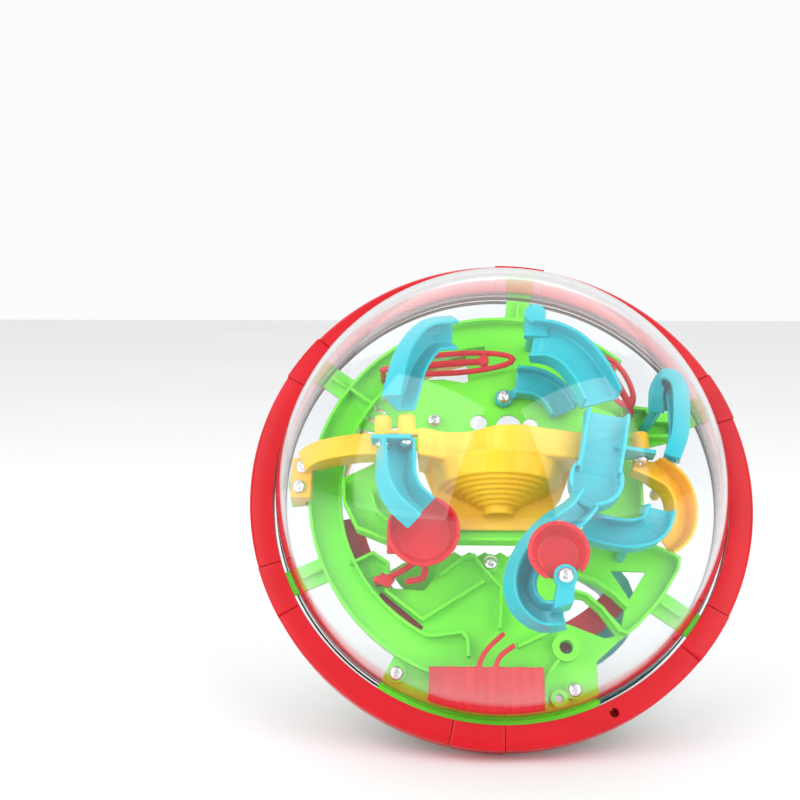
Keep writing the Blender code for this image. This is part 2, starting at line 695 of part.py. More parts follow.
def teal_inner():
    """The small channel behind the right slide, screwed to the upper deck."""
    route = [(6.5, 42, 17.5, 0), (14.5, 41, 17.5, 0), (21.5, 36.5, 17.5, 0), (25.5, 29.5, 17.5, 0)]
    base = sweep("inner_track", smooth(route), channel(12, 5))
    lug = cylinder("inner_lug", (1.5, 36), 3.6, UPPER_HIGH + GAP, 17.4)
    neck = plate("inner_neck", [(0, 34), (3, 38), (8, 42), (9, 37)], 15.2, 17.2)
    return finish(join(base, [lug, neck]), "teal_inner_track", TEAL)


def teal_arch():
    """The hoop-like ribbon at the right edge, standing on the block by the right spoke."""
    route = [
        (61.5, 30, 18, 60), (62, 37, 22, 60), (65.5, 41, 26, 70), (69.5, 36.5, 29, 80), (70, 26, 30, 85),
        (69, 15, 30, 90), (66, 6, 29, 95),
    ]
    base = sweep("arch_track", smooth(route), channel(9, 5))
    leg = rod("arch_leg", [(62.3, 31, 17), (60, 28.6, 9), (59, 28, DECK_TOP + GAP)], 2.2)
    return finish(join(base, [leg]), "teal_arch", TEAL)


# ---------------------------------------------------------------- red pieces

LEFT_CUP = (-29.8, -22.3)
RIGHT_CUP = (18.3, -36.0)
BOX_FRONT = 9.9


def dish(name, centre, radius, low):
    """A shallow round dish with its floor at low."""
    profile = [
        (0, low + 1.8), (radius - 4, low + 1.8), (radius - 1.6, low + 8),
        (radius, low + 8), (radius - 3, low), (0, low),
    ]
    return turned(name, profile, 32, matrix=Matrix.Translation((*centre, 0)))


def red_cups():
    """The left cup on its square foot, and the right cup that hangs from the hook's lug."""
    x, y = LEFT_CUP
    base = dish("left_cup_dish", LEFT_CUP, 14.0, 22.4)
    outline = [(x - 14, y + 6), (x + 9, y + 6), (x + 9, y - 7), (x - 14, y - 7)]
    foot = plate("left_cup_foot", outline, 20.4, 23)
    stub = cylinder("left_cup_stub", (-31, -19.8), 2.0, UPPER_HIGH + GAP, 21.5)
    finish(join(base, [foot, stub]), "left_cup", RED)
    x, y = RIGHT_CUP
    base = dish("right_cup_dish", RIGHT_CUP, 11.2, 47.0)
    outline = [(x - 4, y - 5.5), (x + 7.5, y - 5.5), (x + 7.5, y - 20), (x - 4, y - 20)]
    gate = plate("right_cup_gate", outline, 49.4, 60)
    return finish(cut(base, [gate]), "right_cup", RED)


def start_box():
    """The corrugated box over the bottom tab, open above and on its left, with its two horns."""
    crests = [(-27.5 + 43.0 * i / 30, BOX_FRONT + 0.7 * math.cos(2 * math.pi * i / 6)) for i in range(31)]
    front = ribbon("box_front", crests, 1.5, -95, -69.6, shelf=True)
    disc = cylinder("box_limit", (0, 0), DOME_OUTER - DOME_WALL - GAP - 0.4, -5, 20, sides=72)
    combine(front, [disc], "INTERSECT")
    floor = DECK_TOP + GAP
    outline = [(14.0, -70), (15.6, -70), (15.6, -84.5), (14.0, -84.5)]
    side = plate("box_side", outline, floor, BOX_FRONT + 0.3)
    foot = ribbon("box_foot", arc(85.2, 251, 280, 4.0), 1.6, floor, BOX_FRONT + 0.2)
    horns = [
        rod("horn_1", smooth([(-9, -72, 9.8), (-8.4, -68, 10.6), (-5.5, -63, 10.8), (0.8, -57, 10.2)], 3), 1.1),
        rod("horn_2", smooth([(-2.5, -72, 9.8), (-2, -68, 10.6), (0, -65, 10.8), (4.8, -61.4, 10.2)], 3), 1.1),
    ]
    return finish(join(front, [side, foot, *horns]), "start_box", RED)


def loop_piece(name, centre, length, height, turn, low, foot):
    """A long wire loop with an arm that ends in a bead, on a foot that stands on the deck."""
    middle = Matrix.Translation((*centre, low)) @ Matrix.Rotation(math.radians(turn), 4, "Z")
    ring = [middle @ Vector((length * x, height * y, 1.5 * x)) for x, y in circle((0, 0), 1.0, 24)]
    arm = [middle @ Vector((x * length, 0, 1.5 * x)) for x in (-0.99, -0.4, 0.2, 0.5)]
    leg = [ring[12], Vector((*foot, low - 4)), Vector((*foot, DECK_TOP + GAP))]
    base = rod(name + "_ring", ring, 1.3, closed=True)
    bead = cylinder(name + "_bead", tuple(arm[-1])[:2], 2.2, arm[-1].z - 1.8, arm[-1].z + 1.8)
    return finish(join(base, [rod(name + "_arm", arm, 1.6), bead, rod(name + "_leg", leg, 1.5)]), name, RED)


def small_red():
    loop_piece("red_long_loop", (-18.5, 50.8), 24.0, 4.2, 3, 17, (-47.5, 49.5))
    loop_piece("red_right_loop", (47.5, 44.5), 11.0, 4.6, 118, 13, (53.0, 33.0))
    route = [
        (-45.5, -36.5, 7.8), (-38, -32.5, 8), (-33, -29.4, 8.2), (-29.5, -31, 8.2), (-30.5, -35.5, 8),
        (-37, -37, 7.8),
    ]
    base = rod("hook_rod", smooth(route, 3), 1.4)
    outline = [(-48.8, -37), (-46, -33.5), (-41, -36.3), (-43.6, -39.6)]
    block = plate("hook_block", outline, DECK_TOP + GAP + 5, 9.4)
    leg = cylinder("hook_leg", (-48, -36.2), 1.6, DECK_TOP + GAP, 8)
    finish(join(base, [block, leg]), "red_hook", RED)


# ---------------------------------------------------------------- behind the deck


def rear_maze():
    """The plain second level behind the deck: three tracks on feet and a small shelf."""
    under = DECK_BOTTOM - GAP
    red = [(x, y, -6.5, 180) for x, y in arc(61, 188, 318, 6.0)]
    feet = [cylinder(f"rear_red_foot_{a}", polar(65, a), 2.0, -6, under) for a in (214, 252)]
    finish(join(sweep("rear_red_base", red, channel(10, 5)), feet), "rear_red_track", RED)
    yellow = [(*polar(70, a), -8 - 0.05 * (a - 58), 180) for a in range(58, 173, 6)]
    feet = []
    for angle in (70, 112, 160):
        low = -7.4 - 0.05 * (angle - 58)
        feet.append(cylinder(f"rear_yellow_foot_{angle}", polar(70, angle), 2.4, low, under))
    finish(join(sweep("rear_yellow_base", yellow, channel(11, 6)), feet), "rear_yellow_track", YELLOW)
    teal = [
        (34, -24, -13, 180), (47, -33, -17, 180), (48, -48, -21, 180), (34, -60, -24, 180), (12, -66, -25, 180),
        (-12, -66, -24, 180), (-34, -56, -22, 180),
    ]
    leg = cylinder("rear_teal_leg", (33, -60), 2.2, -23.6, under)
    finish(join(sweep("rear_teal_base", smooth(teal), channel(12, 6)), [leg]), "rear_teal_track", TEAL)
    outline = [*arc(52, 212, 288, 8.0), *arc(32, 288, 212, 8.0)]
    shelf = plate("rear_shelf_base", outline, -17, -15.2)
    rim = ribbon("rear_shelf_rim", arc(32.8, 213, 287, 8.0), WALL, -23, -16)
    posts = [cylinder(f"rear_shelf_post_{a}", polar(44, a), 3.2, -16, under) for a in (240, 275)]
    return finish(join(shelf, [rim, *posts]), "rear_shelf", GREEN)


# ---------------------------------------------------------------- assembly


def steel_ball():
    """The ball that runs in the round track. Its origin is the track's centre, on the ball's axis."""
    work = bmesh.new()
    bmesh.ops.create_uvsphere(work, u_segments=16, v_segments=10, radius=BALL_RADIUS)
    mesh = bpy.data.meshes.new("steel_ball")
    work.to_mesh(mesh)
    work.free()
    place = (0, -BALL_ORBIT, DECK_TOP + GAP + BALL_RADIUS)
    ball = new_object("steel_ball_base", scaled_mesh(mesh, Matrix.Translation(place)))
    finish(ball, "steel_ball", STEEL, pivot=(0, 0, place[2]))


def main():
    shell()
    deck = main_deck()
    upper = upper_deck()
    yellow = funnel()
    left = left_yellow()
    right = right_yellow()
    chute = teal_left()[1]
    teal_right()
    hook = teal_hook()
    teal_branch()
    inner = teal_inner()
    teal_arch()
    cups = red_cups()
    start_box()
    small_red()
    rear_maze()
    steel_ball()
    tab = 13.6 + GAP
    screw("tab_screw_upper", (-78.4, 7.6, tab), 10, [left])
    screw("tab_screw_lower", (-79.4, -0.6, tab), 10, [left])
    screw("upper_deck_screw", (-26.2, 27, UPPER_HIGH + GAP), 10, [upper])
    screw("inner_track_screw", (1.5, 36, 17.7), 3.0, [inner])
    screw("deck_screw_left", (-39.9, -71.5, 5.2), 4, [deck])
    screw("deck_screw_right", (27.3, -77, 5.2), 4, [deck])
    screw("deck_screw_middle", (-3.9, -28.6, 5.2), 4, [deck])
    screw("hook_screw", (20.5, -44.6, 54.3), 6.6, [hook, cups])
    screw("flange_screw_1", (-45.5, 10.3, 34.5), 8, [chute, yellow], along="y")
    screw("flange_screw_2", (-36.5, 10.3, 36.0), 8, [chute, yellow], along="y")
    screw("flange_screw_3", (43.0, 7.7, 28.0), 8, [hook, yellow], along="y")
    screw("flange_screw_4", (53.5, 7.7, 25.5), 8, [hook, right], along="y")

main()
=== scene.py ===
"""Looks for a ball-shaped maze puzzle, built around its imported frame.

The puzzle is two clear domes clamped by a red equator ring round a maze of green, yellow, teal and red
mouldings, held together by small cross-head screws. Every length below is in millimetres in the ball's own
frame: x to the right and y up in the plane of the ring, z along the ball's axis towards the front dome.
BallFrame turns that frame the way the ball lies and brings it to metres.
"""

from __future__ import annotations

import json
import logging
import math
from dataclasses import dataclass
from enum import Enum
from typing import Sequence

import bpy
from mathutils import Matrix, Vector

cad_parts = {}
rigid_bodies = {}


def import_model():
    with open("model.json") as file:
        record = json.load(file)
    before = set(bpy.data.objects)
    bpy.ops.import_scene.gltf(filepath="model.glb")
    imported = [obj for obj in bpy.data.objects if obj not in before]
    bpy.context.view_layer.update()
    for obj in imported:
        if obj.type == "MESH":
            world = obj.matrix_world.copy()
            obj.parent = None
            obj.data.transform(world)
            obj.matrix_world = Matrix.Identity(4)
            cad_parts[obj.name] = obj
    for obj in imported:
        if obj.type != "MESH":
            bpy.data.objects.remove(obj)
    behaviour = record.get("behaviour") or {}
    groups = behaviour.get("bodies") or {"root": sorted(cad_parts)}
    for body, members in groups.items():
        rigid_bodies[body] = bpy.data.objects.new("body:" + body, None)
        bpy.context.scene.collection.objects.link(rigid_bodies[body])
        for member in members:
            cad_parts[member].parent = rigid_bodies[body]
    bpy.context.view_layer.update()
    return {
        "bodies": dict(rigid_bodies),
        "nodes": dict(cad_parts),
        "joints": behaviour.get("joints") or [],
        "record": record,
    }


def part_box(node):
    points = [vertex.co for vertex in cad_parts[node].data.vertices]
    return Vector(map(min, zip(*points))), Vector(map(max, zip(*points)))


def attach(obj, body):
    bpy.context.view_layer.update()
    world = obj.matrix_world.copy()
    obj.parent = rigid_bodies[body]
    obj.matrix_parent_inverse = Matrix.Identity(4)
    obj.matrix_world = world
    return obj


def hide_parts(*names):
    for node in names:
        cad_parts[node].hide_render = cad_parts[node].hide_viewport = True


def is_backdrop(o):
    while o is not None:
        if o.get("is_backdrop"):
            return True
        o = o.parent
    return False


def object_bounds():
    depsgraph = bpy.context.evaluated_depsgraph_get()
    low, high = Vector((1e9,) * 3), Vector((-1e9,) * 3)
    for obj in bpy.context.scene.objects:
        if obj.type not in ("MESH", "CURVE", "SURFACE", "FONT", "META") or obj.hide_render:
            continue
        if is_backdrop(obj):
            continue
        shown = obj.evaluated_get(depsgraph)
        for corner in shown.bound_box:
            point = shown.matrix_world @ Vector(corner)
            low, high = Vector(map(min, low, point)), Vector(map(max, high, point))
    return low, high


LOG = logging.getLogger("maze_ball")
MM = 0.001
GAP = 0.3
AXIS_RADIUS = 1e-4
MOST_OF_EDGE = 0.45
MIX_SHARE, MIX_FIRST, MIX_SECOND, MIX_COLOUR = 0, 6, 7, 2
Point = tuple[float, float]
Triple = tuple[float, float, float]
Colour = Triple


# ---------------------------------------------------------------- materials


class Wire:
    """An output socket that takes part in expressions."""

    def __init__(self, graph: "Graph", socket: bpy.types.NodeSocket) -> None:
        """Wraps a socket of one material's graph."""
        self.graph = graph
        self.socket = socket

    def calculate(self, operation: str, first: object, second: object) -> "Wire":
        """Adds a Math node.

        Args:
            operation: The Math node's operation.
            first: A wire or a number.
            second: A wire or a number.

        Returns:
            The node's value as a wire.
        """
        return self.graph.make("ShaderNodeMath", {"operation": operation}, {0: first, 1: second}).wire(0)

    def __add__(self, other: object) -> "Wire":
        """This value plus another."""
        return self.calculate("ADD", self, other)

    def __radd__(self, other: object) -> "Wire":
        """Another value plus this."""
        return self.calculate("ADD", other, self)

    def __sub__(self, other: object) -> "Wire":
        """This value less another."""
        return self.calculate("SUBTRACT", self, other)

    def __mul__(self, other: object) -> "Wire":
        """This value times another."""
        return self.calculate("MULTIPLY", self, other)

    def over(self, edge: float, softness: float) -> "Wire":
        """A soft step from 0 to 1 where this value passes an edge.

        Args:
            edge: The value at the middle of the step.
            softness: The width of the step.

        Returns:
            The step as a wire.
        """
        low, high = edge - softness / 2, edge + softness / 2
        settings = {"interpolation_type": "SMOOTHSTEP"}
        values = {"Value": self, "From Min": low, "From Max": high}
        return self.graph.make("ShaderNodeMapRange", settings, values).wire(0)


class Made:
    """A node that a graph has made."""

    def __init__(self, graph: "Graph", node: bpy.types.Node) -> None:
        """Wraps a node of one material's graph."""
        self.graph = graph
        self.node = node

    def wire(self, output: int | str) -> Wire:
        """One of the node's outputs."""
        return Wire(self.graph, self.node.outputs[output])


class Graph:
    """The nodes of one material."""

    def __init__(self, name: str) -> None:
        """Starts an empty material with an output node."""
        self.material = bpy.data.materials.new(name)
        self.material.use_nodes = True
        self.tree = self.material.node_tree
        self.tree.nodes.clear()
        self.output = self.tree.nodes.new("ShaderNodeOutputMaterial")

    def make(self, kind: str, settings: dict[str, object], values: dict[int | str, object]) -> Made:
        """Adds a node.

        Args:
            kind: The node's type.
            settings: Properties of the node, set before its sockets.
            values: A number, colour or wire for each input that isn't left alone.

        Returns:
            The node.
        """
        node = self.tree.nodes.new(kind)
        for name, value in settings.items():
            setattr(node, name, value)
        for name, value in values.items():
            if isinstance(value, Wire):
                self.tree.links.new(value.socket, node.inputs[name])
            else:
                node.inputs[name].default_value = value
        return Made(self, node)

    def place(self) -> Wire:
        """The point being shaded, in the object's own coordinates."""
        return self.make("ShaderNodeTexCoord", {}, {}).wire("Object")

    def noise(self, scale: float, detail: float = 2.0, stretch: Triple = (1.0, 1.0, 1.0)) -> Wire:
        """Smooth noise of about 0 to 1.

        Args:
            scale: Waves per metre.
            detail: Octaves of finer noise on top.
            stretch: How much the pattern is squeezed along each axis.

        Returns:
            The noise as a wire.
        """
        spread = self.make("ShaderNodeMapping", {}, {"Vector": self.place(), "Scale": stretch}).wire(0)
        values = {"Vector": spread, "Scale": scale, "Detail": detail}
        return self.make("ShaderNodeTexNoise", {}, values).wire(0)

    def blend(self, share: object, first: object, second: object) -> Wire:
        """A mix of two colours.

        Args:
            share: How much of the second colour there is, a wire or a number.
            first: A colour or a wire.
            second: A colour or a wire.

        Returns:
            The mixed colour as a wire.
        """
        node = self.tree.nodes.new("ShaderNodeMix")
        node.data_type = "RGBA"
        for place, value in ((MIX_SHARE, share), (MIX_FIRST, first), (MIX_SECOND, second)):
            if isinstance(value, Wire):
                self.tree.links.new(value.socket, node.inputs[place])
            else:
                node.inputs[place].default_value = value
        return Wire(self, node.outputs[MIX_COLOUR])

    def bump(self, height: Wire, strength: float, distance: float, normal: Wire | None = None) -> Wire:
        """A surface normal with fine relief.

        Args:
            height: The relief, of about 0 to 1.
            strength: How much of it shows.
            distance: Its height in metres.
            normal: The normal that it starts from, if not the surface's own.

        Returns:
            The normal as a wire.
        """
        values = {"Height": height, "Strength": strength, "Distance": distance}
        if normal:
            values["Normal"] = normal
        return self.make("ShaderNodeBump", {}, values).wire(0)

    def finish(self, shader: Wire) -> bpy.types.Material:
        """Joins the last shader to the output and gives back the material."""
        self.tree.links.new(shader.socket, self.output.inputs["Surface"])
        return self.material


def solid(colour: Colour) -> tuple[float, float, float, float]:
    """A colour with its alpha."""
    return (*colour, 1.0)


@dataclass(frozen=True)
class MouldedPlastic:
    """Injection-moulded plastic, with the slight clouds, flow marks and soft sheen of its mould.

    Attributes:
        name: The material's name.
        slot: The record's material slot. Not used.
        light: The colour where the wall is thin or freshly moulded.
        deep: The colour in the clouds.
        roughness: Mean roughness.
        coat: Weight of the glossy skin.
        edge: Radius of the rounded moulding edges, in millimetres.
        ior: Index of refraction of the skin.
        cloud_waves: Waves per metre of the clouds.
        flow_waves: Waves per metre of the flow marks.
        scuff_waves: Waves per metre of the scuffs.
        grain_waves: Waves per metre of the fine and the coarse grain of the skin.
    """

    name: str
    slot: str
    light: Colour
    deep: Colour
    roughness: float = 0.32
    coat: float = 0.25
    edge: float = 0.35
    ior: float = 1.42
    cloud_waves: float = 38.0
    flow_waves: float = 70.0
    scuff_waves: float = 420.0
    grain_waves: tuple[float, float] = (900.0, 260.0)

    def material(self) -> bpy.types.Material:
        """Builds the material."""
        graph = Graph(self.name)
        clouds = graph.noise(self.cloud_waves, 3.0)
        flow = graph.noise(self.flow_waves, 4.0, (1.0, 1.0, 5.0))
        scuffs = graph.noise(self.scuff_waves, 2.0, (1.0, 6.0, 1.0)).over(0.66, 0.12)
        share = clouds.over(0.52, 0.5) * 0.65 + flow * 0.25
        base = graph.blend(share, solid(self.light), solid(self.deep))
        rough = self.roughness + flow * 0.1 - 0.05 + scuffs * 0.12
        rounded = graph.make("ShaderNodeBevel", {"samples": 4}, {"Radius": self.edge * MM}).wire(0)
        fine, coarse = (graph.noise(waves, 1.0) for waves in self.grain_waves)
        skin = fine * 0.6 + coarse * 0.4
        bump = graph.bump(skin, 0.12, 0.05 * MM, rounded)
        shader = graph.make(
            "ShaderNodeBsdfPrincipled",
            {},
            {
                "Base Color": base,
                "Roughness": rough,
                "IOR": self.ior,
                "Specular IOR Level": 0.35,
                "Coat Weight": self.coat,
                "Coat Roughness": 0.12,
                "Normal": bump,
            },
        )
        return graph.finish(shader.wire(0))


@dataclass(frozen=True)
class ClearAcrylic:
    """The polished clear plastic of the domes, with a few faint smears from handling.

    Attributes:
        name: The material's name.
        slot: The record's material slot. Not used.
        tint: The colour of light that has passed through.
        ior: Index of refraction.
        polish: Roughness where it is clean.
        smear_waves: Waves per metre of the smears.
        dust_waves: Waves per metre of the dust.
        sag_waves: Waves per metre of the slight unevenness of the wall.
    """

    name: str = "clear_acrylic"
    slot: str = "clear"
    tint: Colour = (0.97, 0.99, 1.0)
    ior: float = 1.42
    polish: float = 0.012
    smear_waves: float = 55.0
    dust_waves: float = 700.0
    sag_waves: float = 30.0

    def material(self) -> bpy.types.Material:
        """Builds the material."""
        graph = Graph(self.name)
        smears = graph.noise(self.smear_waves, 4.0, (1.0, 3.0, 1.0)).over(0.6, 0.25)
        dust = graph.noise(self.dust_waves, 2.0).over(0.72, 0.06)
        rough = self.polish + smears * 0.02 + dust * 0.05
        bump = graph.bump(graph.noise(self.sag_waves, 1.0), 0.05, 0.2 * MM)
        glass = graph.make(
            "ShaderNodeBsdfPrincipled",
            {},
            {
                "Base Color": solid(self.tint),
                "Roughness": rough,
                "IOR": self.ior,
                "Transmission Weight": 1.0,
                "Normal": bump,
            },
        ).wire(0)
        open_air = graph.make("ShaderNodeBsdfTransparent", {}, {"Color": solid(self.tint)}).wire(0)
        lamps = graph.make("ShaderNodeLightPath", {}, {}).wire("Is Shadow Ray")
        shell = graph.make("ShaderNodeMixShader", {}, {0: lamps, 1: glass, 2: open_air})
        return graph.finish(shell.wire(0))


@dataclass(frozen=True)
class PlatedSteel:
    """Bright plated steel, with fine turning marks and a little tarnish.

    Attributes:
        name: The material's name.
        slot: The record's material slot. Not used.
        light: The colour of the bright plating.
        deep: The colour of the tarnish.
        polish: Roughness of the bright plating.
        tarnish_waves: Waves per metre of the tarnish.
        mark_waves: Waves per metre of the turning marks.
    """

    name: str = "plated_steel"
    slot: str = "steel"
    light: Colour = (0.86, 0.86, 0.87)
    deep: Colour = (0.62, 0.61, 0.6)
    polish: float = 0.16
    tarnish_waves: float = 320.0
    mark_waves: float = 2600.0

    def material(self) -> bpy.types.Material:
        """Builds the material."""
        graph = Graph(self.name)
        tarnish = graph.noise(self.tarnish_waves, 4.0).over(0.58, 0.3)
        marks = graph.noise(self.mark_waves, 2.0)
        base = graph.blend(tarnish * 0.7, solid(self.light), solid(self.deep))
        rough = self.polish + tarnish * 0.12 + marks * 0.08
        bump = graph.bump(marks, 0.1, 0.02 * MM)
        values = {"Base Color": base, "Roughness": rough, "Metallic": 1.0, "Normal": bump}
        shader = graph.make("ShaderNodeBsdfPrincipled", {}, values)
        return graph.finish(shader.wire(0))


@dataclass(frozen=True)
class StudioPaper:
    """The pale, matt paper that the puzzle lies on.

    Attributes:
        name: The material's name.
        light: The colour of the paper.
        deep: Its darker patches.
        dullness: Its least roughness.
        patch_waves: Waves per metre of the patches.
        fibre_waves: Waves per metre of the fibres.
    """

    name: str = "studio_paper"
    light: Colour = (0.93, 0.93, 0.94)
    deep: Colour = (0.88, 0.88, 0.89)
    dullness: float = 0.7
    patch_waves: float = 3.0
    fibre_waves: float = 12.0

    def material(self) -> bpy.types.Material:
        """Builds the material."""
        graph = Graph(self.name)
        base = graph.blend(graph.noise(self.patch_waves, 2.0), solid(self.light), solid(self.deep))
        rough = self.dullness + graph.noise(self.fibre_waves, 2.0) * 0.1
        shader = graph.make("ShaderNodeBsdfPrincipled", {}, {"Base Color": base, "Roughness": rough})
        return graph.finish(shader.wire(0))


class Finishes(Enum):
    """The finishes of the puzzle's pieces."""

    RING_RED = MouldedPlastic("ring_red", "red", (0.66, 0.004, 0.013), (0.52, 0.003, 0.01), 0.33, 0.12)
    INNER_RED = MouldedPlastic("inner_red", "red", (0.7, 0.006, 0.016), (0.5, 0.003, 0.01), 0.3, 0.12)
    GREEN = MouldedPlastic("leaf_green", "green", (0.2, 0.84, 0.03), (0.12, 0.68, 0.015), 0.34, 0.12)
    YELLOW = MouldedPlastic("warm_yellow", "yellow", (0.98, 0.61, 0.022), (0.86, 0.38, 0.003), 0.33, 0.12)
    TEAL = MouldedPlastic("teal", "teal", (0.001, 0.25, 0.305), (0.0, 0.175, 0.225), 0.3, 0.15)
    CLEAR = ClearAcrylic()
    STEEL = PlatedSteel()

    def dress(self, piece: bpy.types.Object) -> None:
        """Gives a piece this finish, and only this one."""
        made = bpy.data.materials.get(self.value.name) or self.value.material()
        piece.data.materials.clear()
        piece.data.materials.append(made)


# ---------------------------------------------------------------- modelling tools


def deselect() -> None:
    """Leaves edit mode and clears the selection."""
    if bpy.context.object and bpy.context.object.mode != "OBJECT":
        bpy.ops.object.mode_set(mode="OBJECT")
    bpy.ops.object.select_all(action="DESELECT")


def pick(piece: bpy.types.Object) -> None:
    """Makes a piece the only selected and the active object."""
    deselect()
    piece.select_set(True)
    bpy.context.view_layer.objects.active = piece


def apply_modifier(piece: bpy.types.Object, kind: str, **settings: object) -> None:
    """Adds a modifier, sets it and applies it.

    Args:
        piece: The object it shapes.
        kind: The modifier's type.
        **settings: Its properties.
    """
    pick(piece)
    modifier = piece.modifiers.new(kind.lower(), kind)
    for name, value in settings.items():
        setattr(modifier, name, value)
    bpy.ops.object.modifier_apply(modifier=modifier.name)


def lathe(name: str, profile: Sequence[Point], steps: int) -> bpy.types.Object:
    """Turns a closed profile about z by drawing a circle out through its points.

    Args:
        name: The piece's name.
        profile: Radius and height of each corner, in order. A closed section repeats its first.
        steps: Points in each circle.

    Returns:
        The turned piece, with its faces out.
    """
    deselect()
    radius, height = profile[0]
    radius = max(radius, AXIS_RADIUS)
    bpy.ops.mesh.primitive_circle_add(vertices=steps, radius=radius, location=(0, 0, height))
    piece = bpy.context.object
    piece.name = name
    bpy.ops.object.transform_apply(location=True, rotation=True, scale=True)
    bpy.ops.object.mode_set(mode="EDIT")
    bpy.ops.mesh.select_all(action="SELECT")
    for wide, high in profile[1:]:
        wide = max(wide, AXIS_RADIUS)
        bpy.ops.mesh.extrude_region_move(TRANSFORM_OT_translate={"value": (0, 0, high - height)})
        factor = wide / radius
        bpy.ops.transform.resize(value=(factor, factor, 1), center_override=(0, 0, high))
        radius, height = wide, high
    bpy.ops.mesh.select_all(action="SELECT")
    bpy.ops.mesh.remove_doubles(threshold=10 * AXIS_RADIUS)
    bpy.ops.mesh.normals_make_consistent(inside=False)
    bpy.ops.object.mode_set(mode="OBJECT")
    return piece


def arc(radius: float, start: float, end: float, count: int, centre: Point = (0.0, 0.0)) -> list[Point]:
    """Points along a circle, ends included.

    Args:
        radius: The circle's radius.
        start: First angle, in degrees.
        end: Last angle, in degrees.
        count: Spans between the points.
        centre: The circle's centre.

    Returns:
        The points.
    """
    angles = [math.radians(start + (end - start) * i / count) for i in range(count + 1)]
    return [(centre[0] + radius * math.cos(a), centre[1] + radius * math.sin(a)) for a in angles]


def rounded(corners: Sequence[Point], radius: float, spans: int = 3) -> list[Point]:
    """A closed loop of corners with each one rounded, its first point repeated at the end.

    Args:
        corners: The loop's corners.
        radius: How far from each corner its round starts.
        spans: Spans in each round.

    Returns:
        The rounded loop.
    """
    found: list[Point] = []
    for i, corner in enumerate(corners):
        here = Vector(corner)
        before, after = Vector(corners[i - 1]) - here, Vector(corners[(i + 1) % len(corners)]) - here
        reach = min(radius, before.length * MOST_OF_EDGE, after.length * MOST_OF_EDGE)
        start, end = here + before.normalized() * reach, here + after.normalized() * reach
        for k in range(spans + 1):
            t = k / spans
            bent = start * (1 - t) ** 2 + here * 2 * t * (1 - t) + end * t**2
            found.append((bent.x, bent.y))
    return [*found, found[0]]


def keep_sector(piece: bpy.types.Object, middle: float, half: float) -> None:
    """Cuts away all of a turned piece but one sector, and closes the cuts.

    Args:
        piece: The turned piece.
        middle: The sector's middle angle, in degrees.
        half: Half the sector's angle.
    """
    pick(piece)
    bpy.ops.object.mode_set(mode="EDIT")
    for angle, side in ((middle - half, 1), (middle + half, -1)):
        turn = math.radians(angle)
        normal = (math.sin(turn) * side, -math.cos(turn) * side, 0)
        bpy.ops.mesh.select_all(action="SELECT")
        bpy.ops.mesh.bisect(
            plane_co=(0, 0, 0), plane_no=normal, use_fill=True, clear_outer=True, threshold=AXIS_RADIUS / 10
        )
    bpy.ops.mesh.select_all(action="SELECT")
    bpy.ops.mesh.normals_make_consistent(inside=False)
    bpy.ops.object.mode_set(mode="OBJECT")


def smooth_by_angle(piece: bpy.types.Object, degrees: float) -> None:
    """Shades a piece smooth but for its edges sharper than an angle."""
    pick(piece)
    bpy.ops.object.shade_smooth_by_angle(angle=math.radians(degrees))


# ---------------------------------------------------------------- the ball's frame


class BallFrame:
    """Turns the ball's own frame, in millimetres, into the world's."""

    def __init__(self, frame: dict) -> None:
        """Reads the lie of the ball from the ball joint's axis, which is the axis of the domes."""
        axis = Vector(frame["joints"][0]["axis"])
        self.turn = Vector((0, 0, 1)).rotation_difference(axis).to_matrix().to_4x4()
        self.matrix = self.turn @ Matrix.Scale(MM, 4)

    def settle(self, piece: bpy.types.Object, node: str, finish: Finishes, body: str = "body") -> None:
        """Puts a finished piece in the world, dresses it and has it stand for its node.

        Args:
            piece: A mesh in the ball's frame, in millimetres.
            node: The node that it replaces, whose name it takes with a suffix.
            finish: Its finish.
            body: The body it rides on.
        """
        piece.data.transform(self.matrix)
        stand_for(piece, node, finish, body)


def stand_for(piece: bpy.types.Object, node: str, finish: Finishes, body: str = "body") -> None:
    """Dresses a piece that is in place, and has it ride on a body and stand for a node.

    Args:
        piece: The piece, in metres.
        node: The node that it replaces.
        finish: Its finish.
        body: The body it rides on.
    """
    piece.name = f"{node}_piece"
    finish.dress(piece)
    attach(piece, body)
    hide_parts(node)
    LOG.info("%s: %d faces", piece.name, len(piece.data.polygons))


# ---------------------------------------------------------------- shell


